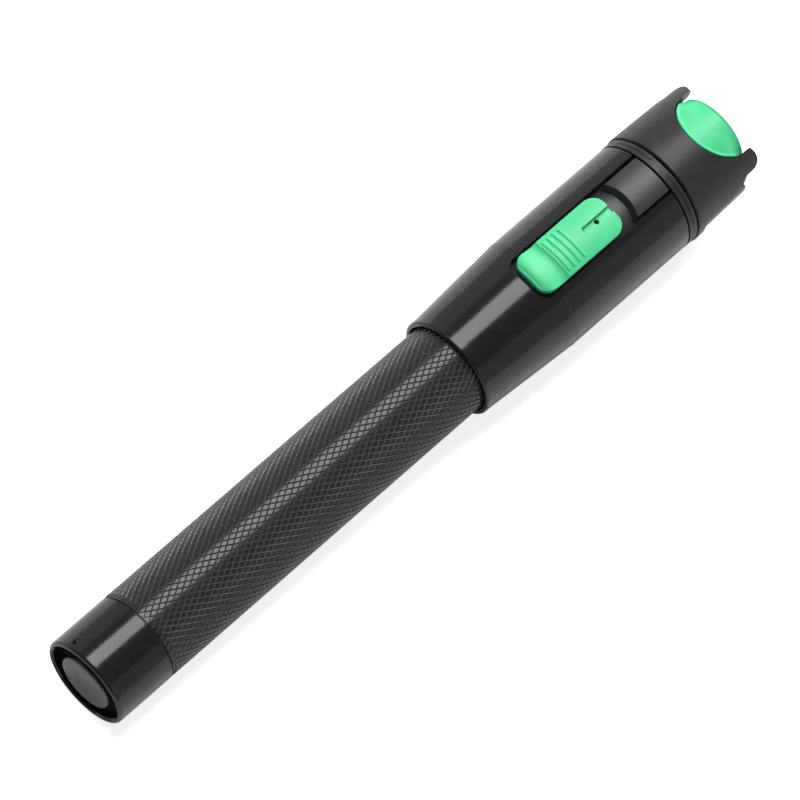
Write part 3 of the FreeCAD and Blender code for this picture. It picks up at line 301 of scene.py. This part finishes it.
def board_laminate():
    """Solder mask with the faint relief of the copper below it."""
    paint = Paint("board_laminate", (0.02, 0.17, 0.07), 0.35, Coat_Weight=0.3)
    cells = paint.add("ShaderNodeTexVoronoi", feature="DISTANCE_TO_EDGE", distance="EUCLIDEAN")
    cells.inputs["Scale"].default_value = 700
    paint.link(paint.place(), cells.inputs["Vector"])
    tracks = paint.ramp(cells.outputs["Distance"], 0.04, 0.09, 0.2, 0.8)
    paint.vary_color(tracks, (0.03, 0.22, 0.09), (0.016, 0.13, 0.055))
    paint.vary_roughness(paint.noise(2200), 0.28, 0.42)
    paint.bump(tracks, 0.00002, 0.5)
    return paint.material


def lens_glass():
    paint = Paint("lens_glass", (0.93, 0.97, 0.98), 0.03, Transmission_Weight=1.0, IOR=1.52)
    smear = paint.noise(1400, detail=6)
    paint.vary_roughness(smear, 0.02, 0.06)
    paint.bump(smear, 0.0000015, 0.3)
    return paint.material


def white_ceramic():
    paint = Paint("white_ceramic", (0.82, 0.82, 0.80), 0.28, Specular_IOR_Level=0.6)
    ground = paint.noise(4200, (1, 0.05, 0.05), detail=4)
    paint.vary_color(paint.noise(600), (0.78, 0.78, 0.76), (0.84, 0.84, 0.82))
    paint.vary_roughness(ground, 0.22, 0.34)
    paint.bump(ground, 0.000004, 0.5)
    return paint.material


TURNED = (1, 0.02, 0.02)
EVEN = (1, 1, 1)
SLOT_MATERIALS = {
    "gloss_black_anodised": gloss_anodise(),
    "satin_black_anodised": knurl_anodise(),
    "matte_dark_grey": blasted_grey(),
    "green_plastic": green_moulding(),
    "dark_plastic": dark_moulding(),
    "nickel_steel": metal("nickel_plate", (0.60, 0.59, 0.56), 0.26, 3600, TURNED, 0.000004),
    "spring_steel": metal("spring_wire", (0.56, 0.56, 0.55), 0.3, 5200, EVEN, 0.000005),
    "black_rubber": rubber("black_rubber", (0.016, 0.016, 0.017)),
    "seal_rubber": rubber("seal_rubber", (0.075, 0.075, 0.078)),
    "cell_sleeve": cell_sleeve(),
    "brass": metal("turned_brass", (0.72, 0.50, 0.20), 0.25, 3200, TURNED, 0.000005),
    "board_laminate": board_laminate(),
    "lens_glass": lens_glass(),
    "white_ceramic": white_ceramic(),
}


def dress(piece, material):
    piece.data.materials.clear()
    piece.data.materials.append(material)


for entry in frame["record"]["subparts"]:
    dress(nodes[entry["node"]], SLOT_MATERIALS[entry["material_slot"]])
dress(nodes["tail_magnet"], magnet_plate())


# ---- mesh helpers ----------------------------------------------------------------------
def new_piece(name, vertices, faces, material, body, smooth_angle=None):
    mesh = bpy.data.meshes.new(name)
    mesh.from_pydata(vertices, [], faces)
    mesh.validate()
    mesh.update()
    piece = bpy.data.objects.new(name, mesh)
    bpy.context.collection.objects.link(piece)
    dress(piece, material)
    if smooth_angle is not None:
        mesh.shade_smooth()
        mesh.set_sharp_from_angle(angle=math.radians(smooth_angle))
    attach(piece, body)
    return piece


def turn_point(x, radius, turn):
    """Point at a station, radius and fraction of a turn from +Z towards +Y."""
    angle = 2 * math.pi * turn
    return (x, radius * math.sin(angle), AXIS_Z + radius * math.cos(angle))


# ---- knurled tube ------------------------------------------------------------------------
KNURL_STARTS = 47
KNURL_ANGLE = math.radians(31.0)
GROOVE_DEPTH = 0.20 * MM
FLAT_SHARE = 0.70
NECK_LENGTH = 0.3 * MM
NECK_DEPTH = 0.55 * MM
END_WALL_DEPTH = 0.6 * MM
KNURL_UNDER_SKIRT = 2.5 * MM
TAIL_SOCKET_WALL = 1.3 * MM
SOCKET_STEP = 1.35 * MM
SOCKET_CHAMFER = 0.2 * MM
SOCKET_CLEARANCE = 0.05 * MM
NOSE_R = 9.2 * MM
NOSE_CHAMFER = 0.3 * MM
FLAT_CROWN = 0.025 * MM


def knurl_mesh(start, end, crest_r):
    """Diamonds with crowned flats between two crossing families of helical V grooves."""
    width = 2 * math.pi * crest_r / KNURL_STARTS
    rows = 2 * round((end - start) / (width / math.tan(KNURL_ANGLE)))
    step = (end - start) / rows
    low_r = crest_r - GROOVE_DEPTH
    vertices = []
    faces = []

    def add(row, column, radius):
        vertices.append(turn_point(start + row * step, radius, column / KNURL_STARTS))
        return len(vertices) - 1

    low = []
    for row in range(rows + 1):
        low.append([add(row, column + row % 2 / 2, low_r) for column in range(KNURL_STARTS)])
    for row in range(1, rows):
        shift = row % 2
        for column in range(KNURL_STARTS):
            after = (column + 1) % KNURL_STARTS
            beside = after if shift else column
            ring = [low[row][column], low[row - 1][beside], low[row][after], low[row + 1][beside]]
            middle = column + (1 + shift) / 2
            top = add(row, middle, crest_r)
            flat = [add(row + FLAT_SHARE * dr, middle + FLAT_SHARE * dc, crest_r - FLAT_CROWN)
                    for dr, dc in ((0, -0.5), (-1, 0), (0, 0.5), (1, 0))]
            for side in range(4):
                following = (side + 1) % 4
                faces.append((ring[side], ring[following], flat[following], flat[side]))
                faces.append((flat[side], flat[following], top))
    return vertices, faces, low


def build_barrel():
    """Knurled tube with its socket, bore and nose, in place of the plainer CAD solid."""
    box_low, box_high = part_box("knurled_barrel")
    start = box_low[0]
    nose_end = box_high[0]
    crest_r = (box_high[1] - box_low[1]) / 2
    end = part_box("head_shell")[0][0] + KNURL_UNDER_SKIRT
    vertices, faces, low = knurl_mesh(start + NECK_LENGTH, end, crest_r)
    count = KNURL_STARTS

    def circle(x, radius):
        first = len(vertices)
        vertices.extend(turn_point(x, radius, c / count) for c in range(count))
        return [first + c for c in range(count)]

    def bridge(a, b):
        for c in range(count):
            n = (c + 1) % count
            faces.append((a[c], b[c], b[n], a[n]))

    socket_r = (tail_high[1] - tail_low[1]) / 2 - TAIL_SOCKET_WALL
    bore_r = socket_r - SOCKET_STEP
    socket_end = tail_high[0] + SOCKET_CLEARANCE
    neck_r = crest_r - NECK_DEPTH
    loops = [
        low[0],
        circle(start + NECK_LENGTH, neck_r),
        circle(start, neck_r),
        circle(start, socket_r + SOCKET_CHAMFER),
        circle(start + SOCKET_CHAMFER, socket_r),
        circle(socket_end, socket_r),
        circle(socket_end, bore_r),
        circle(nose_end, bore_r),
        circle(nose_end, NOSE_R - NOSE_CHAMFER),
        circle(nose_end - NOSE_CHAMFER, NOSE_R),
        circle(end, NOSE_R),
        circle(end, crest_r - END_WALL_DEPTH),
        low[-1],
    ]
    for a, b in zip(loops, loops[1:]):
        bridge(a, b)
    for c in range(count):
        n = (c + 1) % count
        faces.append((low[0][c], low[1][c], low[0][n]))
        faces.append((low[-1][n], low[-2][c], low[-1][c]))
    piece = new_piece("knurled_tube", vertices, faces, SLOT_MATERIALS["satin_black_anodised"],
                      "pen_body", smooth_angle=16)
    piece.data.materials.append(groove_painted_sheen())
    # four-sided faces, the groove walls and the plain ends, take the paler material, whose colour is painted
    # sheen
    for polygon in piece.data.polygons:
        if len(polygon.vertices) == 4:
            polygon.material_index = 1
    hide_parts("knurled_barrel")
    return piece


build_barrel()


# ---- seam line on the head, a painted highlight ------------------------------------------
SEAM_FROM_TAIL = 125.7 * MM
SEAM_HALF_WIDTH = 0.08 * MM
SEAM_PROUD = 0.03 * MM
SEAM_ROOT = 0.1 * MM
SLOT_SHARE = 0.086
SEAM_STEPS = 160


def build_seam():
    """Fine ridge where the head's cone meets its cylinder, broken at the slot, pale with a painted highlight.
    """
    head_low, head_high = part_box("head_shell")
    radius = (head_high[1] - head_low[1]) / 2
    station = tail_low[0] + SEAM_FROM_TAIL
    root = radius - SEAM_ROOT
    section = ((-SEAM_HALF_WIDTH, root), (0, radius + SEAM_PROUD), (SEAM_HALF_WIDTH, root))
    vertices = []
    for step in range(SEAM_STEPS + 1):
        turn = SLOT_SHARE + (1 - 2 * SLOT_SHARE) * step / SEAM_STEPS
        vertices.extend(turn_point(station + dx, r, turn) for dx, r in section)
    faces = [(0, 1, 2), (len(vertices) - 1, len(vertices) - 2, len(vertices) - 3)]
    for step in range(SEAM_STEPS):
        for side in range(3):
            a, b = 3 * step + side, 3 * step + (side + 1) % 3
            faces.append((a, a + 3, b + 3, b))
    # the ridge's pale material is a painted highlight
    new_piece("head_seam", vertices, faces, seam_painted_highlight(), "pen_body", smooth_angle=30)


build_seam()


# ---- softened mouldings --------------------------------------------------------------------
def softened(name, node, voxel, passes, share, reshape=None):
    """Copy of a CAD node with its sharp edges rounded by `passes` of smoothing, in its place.

    reshape, if given, moves the copy's points and returns more solid points and faces to merge."""
    source = nodes[node]
    mesh = source.data.copy()
    mesh.transform(source.matrix_world)
    points = [tuple(vertex.co) for vertex in mesh.vertices]
    faces = [tuple(polygon.vertices) for polygon in mesh.polygons]
    bpy.data.meshes.remove(mesh)
    if reshape:
        points, faces = reshape(points, faces)
    entry = [e for e in frame["record"]["subparts"] if e["node"] == node][0]
    slot_name = entry["material_slot"]
    body = body_of(source)[0]
    piece = new_piece(name, points, faces, SLOT_MATERIALS[slot_name], body)
    weld = piece.modifiers.new("weld", "WELD")
    weld.merge_threshold = 0.001 * MM
    remesh = piece.modifiers.new("merge", "REMESH")
    remesh.mode = "VOXEL"
    remesh.voxel_size = voxel
    remesh.use_smooth_shade = True
    soften = piece.modifiers.new("soften", "SMOOTH")
    soften.factor = 0.5
    soften.iterations = passes
    thin = piece.modifiers.new("thin", "DECIMATE")
    thin.ratio = share
    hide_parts(node)
    return piece


CAP_REAR_R = 12.9 * MM
CAP_LIP_BASE = 4.2 * MM
CAP_LIP_RISE = 8.45 * MM
CAP_CORNER_R = 0.7 * MM
CAP_DISH_DEPTH = 0.4 * MM
CAP_LIP = 0.55 * MM
CAP_FACE_SETBACK = 1.4 * MM
SCOOP_CENTRE_SETBACK = 3.0 * MM
SCOOP_DEPTH = 7.1 * MM
SCOOP_HALF_WIDTH = 8.25 * MM
CAP_SLOPE_START = 3.0 * MM
CAP_CROWN_THICKNESS = 1.4 * MM
CAP_SINK = 0.25 * MM
CAP_COLUMNS = 96
CAP_ROWS = 64
SHOULDER_Z = 4.9 * MM


def cap_crown(points, faces):
    """Lowers the cap's outer wall to a crowned thumb dish whose front corners are rounded."""
    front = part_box("crown_collar")[1][0] - CAP_FACE_SETBACK
    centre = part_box("crown_collar")[1][0] - SCOOP_CENTRE_SETBACK

    def crown(x, y):
        across = min(abs(y), SCOOP_HALF_WIDTH)
        rear = math.sqrt(CAP_REAR_R ** 2 - across ** 2)
        lip = CAP_LIP_BASE + CAP_LIP_RISE * math.sqrt(1.02 - (across / SCOOP_HALF_WIDTH) ** 2)
        share = min(1.0, max(0.0, (x - centre + CAP_SLOPE_START) / (front - centre + CAP_SLOPE_START)))
        return AXIS_Z + rear + (lip - rear) * share * share * (3 - 2 * share)

    def front_edge(y):
        past = max(0.0, abs(y) - (SCOOP_HALF_WIDTH - CAP_CORNER_R))
        return front - CAP_CORNER_R + math.sqrt(max(0.0, CAP_CORNER_R ** 2 - past ** 2))

    def rear_edge(y):
        return centre - SCOOP_DEPTH * math.sqrt(max(0.0, 1 - (y / SCOOP_HALF_WIDTH) ** 2))

    lowered = []
    for x, y, z in points:
        if z > AXIS_Z + SHOULDER_Z:
            x = min(x, front_edge(y))
            z = min(z, crown(x, y) - CAP_SINK)
        lowered.append((x, y, z))
    columns = CAP_COLUMNS
    rows = CAP_ROWS
    first = len(lowered)
    for layer in (0, 1):
        for column in range(columns + 1):
            turn = math.pi * (column / columns - 0.5)
            y = SCOOP_HALF_WIDTH * math.sin(turn) * 0.9995
            for row in range(rows + 1):
                share = 0.5 - 0.5 * math.cos(math.pi * row / rows)
                x = rear_edge(y) + (front_edge(y) - rear_edge(y)) * share
                edge = min(x - rear_edge(y), front_edge(y) - x, (SCOOP_HALF_WIDTH - abs(y)) * 0.8)
                inside = min(1.0, max(0.0, (edge - CAP_LIP * 0.4) / CAP_LIP))
                drop = CAP_DISH_DEPTH * inside * inside * (3 - 2 * inside)
                rounding = max(0.0, CAP_LIP * 0.4 - edge)
                z = crown(x, y) - (drop + rounding if layer == 0 else CAP_CROWN_THICKNESS)
                lowered.append((x, y, z))
    per_layer = (columns + 1) * (rows + 1)

    def at(layer, column, row):
        return first + layer * per_layer + column * (rows + 1) + row

    skin = list(faces)
    for column in range(columns):
        for row in range(rows):
            a, b = at(0, column, row), at(0, column + 1, row)
            c, d = at(0, column + 1, row + 1), at(0, column, row + 1)
            skin.append((a, d, c, b))
            skin.append((a + per_layer, b + per_layer, c + per_layer, d + per_layer))
    rim = [(column, 0) for column in range(columns)] + [(columns, row) for row in range(rows)]
    rim += [(column, rows) for column in range(columns, 0, -1)] + [(0, row) for row in range(rows, 0, -1)]
    for here, there in zip(rim, rim[1:] + rim[:1]):
        a, b = at(0, *here), at(0, *there)
        skin.append((a, b, b + per_layer, a + per_layer))
    return lowered, skin


softened("cap_moulding", "dust_cap", 0.16 * MM, 3, 0.4, cap_crown)
softened("knob_moulding", "switch_knob", 0.1 * MM, 3, 0.5)


# ---- floor and light -------------------------------------------------------------------------
FLOOR_GLOW = {"Is Camera Ray": 0.78, "Is Glossy Ray": 0.06, "Is Transmission Ray": 0.4}
FOOT_FROM_BRACKET = 5.2 * MM


def build_floor():
    """White sheet under the pen, tipped by the little that lets the tail and the feet both touch."""
    foot_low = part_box("hinge_bracket")[0]
    foot_x = foot_low[0] + FOOT_FROM_BRACKET
    tail_x = tail_low[0]
    drop = (tail_low[2] - foot_low[2]) / (foot_x - tail_x)
    reach = 6.0
    corners = []
    for x, y in ((-reach, -reach), (reach, -reach), (reach, reach), (-reach, reach)):
        corners.append((x, y, foot_low[2] - (x - foot_x) * drop - 0.0001))
    mesh = bpy.data.meshes.new("floor")
    mesh.from_pydata(corners, [], [(0, 1, 2, 3)])
    floor = bpy.data.objects.new("floor", mesh)
    bpy.context.collection.objects.link(floor)
    material = bpy.data.materials.new("floor_white")
    material.use_nodes = True
    tree = material.node_tree
    tree.nodes.clear()
    diffuse = tree.nodes.new("ShaderNodeBsdfDiffuse")
    diffuse.inputs["Color"].default_value = (0.82, 0.82, 0.82, 1)
    glow = tree.nodes.new("ShaderNodeEmission")
    paths = tree.nodes.new("ShaderNodeLightPath")
    total = None
    for name, strength in FLOOR_GLOW.items():
        add = tree.nodes.new("ShaderNodeMath")
        add.operation = "MULTIPLY_ADD"
        add.inputs[1].default_value = strength
        add.inputs[2].default_value = 0
        tree.links.new(paths.outputs[name], add.inputs[0])
        if total:
            tree.links.new(total, add.inputs[2])
        total = add.outputs[0]
    tree.links.new(total, glow.inputs["Strength"])
    both = tree.nodes.new("ShaderNodeAddShader")
    out = tree.nodes.new("ShaderNodeOutputMaterial")
    tree.links.new(diffuse.outputs[0], both.inputs[0])
    tree.links.new(glow.outputs[0], both.inputs[1])
    tree.links.new(both.outputs[0], out.inputs["Surface"])
    mesh.materials.append(material)


build_floor()


def panel(name, around, lift, distance, width, length, radiance):
    """Area lamp seen from the pen `around` degrees from +Z towards -Y, tipped `lift`
    degrees towards the port, with its long side along the pen."""
    data = bpy.data.lights.new(name, "AREA")
    data.shape = "RECTANGLE"
    data.size = length
    data.size_y = width
    data.energy = radiance * math.pi * width * length
    lamp = bpy.data.objects.new(name, data)
    a = math.radians(around)
    b = math.radians(lift)
    direction = Vector((math.sin(b), -math.sin(a) * math.cos(b), math.cos(a) * math.cos(b)))
    along = Vector((math.cos(b), math.sin(a) * math.sin(b), -math.cos(a) * math.sin(b)))
    across = direction.cross(along)
    for row in range(3):
        for column, axis in enumerate((along, across, direction)):
            lamp.matrix_world[row][column] = axis[row]
    lamp.matrix_world.translation = direction * distance + Vector((0, 0, AXIS_Z))
    bpy.context.collection.objects.link(lamp)
    return lamp


panel("key_softbox", -13.2, 22, 1.1, 0.56, 1.5, 6.2)
panel("right_fill", 90, 10, 1.2, 1.7, 2.0, 0.32)
panel("left_fill", -87, 10, 1.2, 1.8, 2.0, 0.40)
panel("front_softbox", -40, 60, 1.2, 0.5, 0.5, 6.0)

world = bpy.data.worlds.new("world")
bpy.context.scene.world = world
world.use_nodes = True
background = world.node_tree.nodes["Background"]
background.inputs["Color"].default_value = (1, 1, 1, 1)
background.inputs["Strength"].default_value = 0.15

bpy.context.scene.view_settings.view_transform = "Standard"
